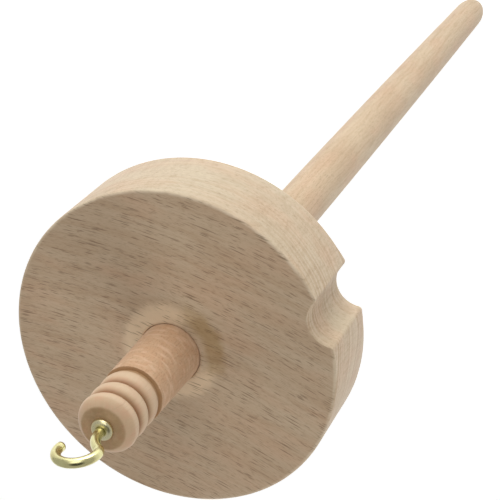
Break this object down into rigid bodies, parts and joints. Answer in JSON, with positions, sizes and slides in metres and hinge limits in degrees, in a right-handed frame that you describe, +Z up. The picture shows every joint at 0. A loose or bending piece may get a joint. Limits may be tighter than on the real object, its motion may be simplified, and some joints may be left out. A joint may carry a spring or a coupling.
{
  "type": "drop spindle",
  "caption": "Top-whorl drop spindle: a turned wooden disc with a rim notch on a beaded, tapering wooden shaft, with a screw-in wire hook for spinning yarn by hand.",
  "frame": {"origin": "on the shaft's axis, where the yarn bears under the bow of the hook", "axes": "+Z up the shaft towards the hook, +X towards the notch in the whorl's rim"},
  "size_m": [0.0756, 0.076, 0.3439],
  "materials": {
    "beech_whorl": "fine-sanded bare beech, satin",
    "beech_shaft": "turned and sanded bare beech, satin",
    "hook_brass": "bright polished brass plate",
    "collar_brass": "bright pressed brass plate"
  },
  "bodies": {
    "root": {"whorl": "beech_whorl", "shaft": "beech_shaft", "screw_hook": "hook_brass", "hook_collar": "collar_brass"}
  },
  "joints": []
}
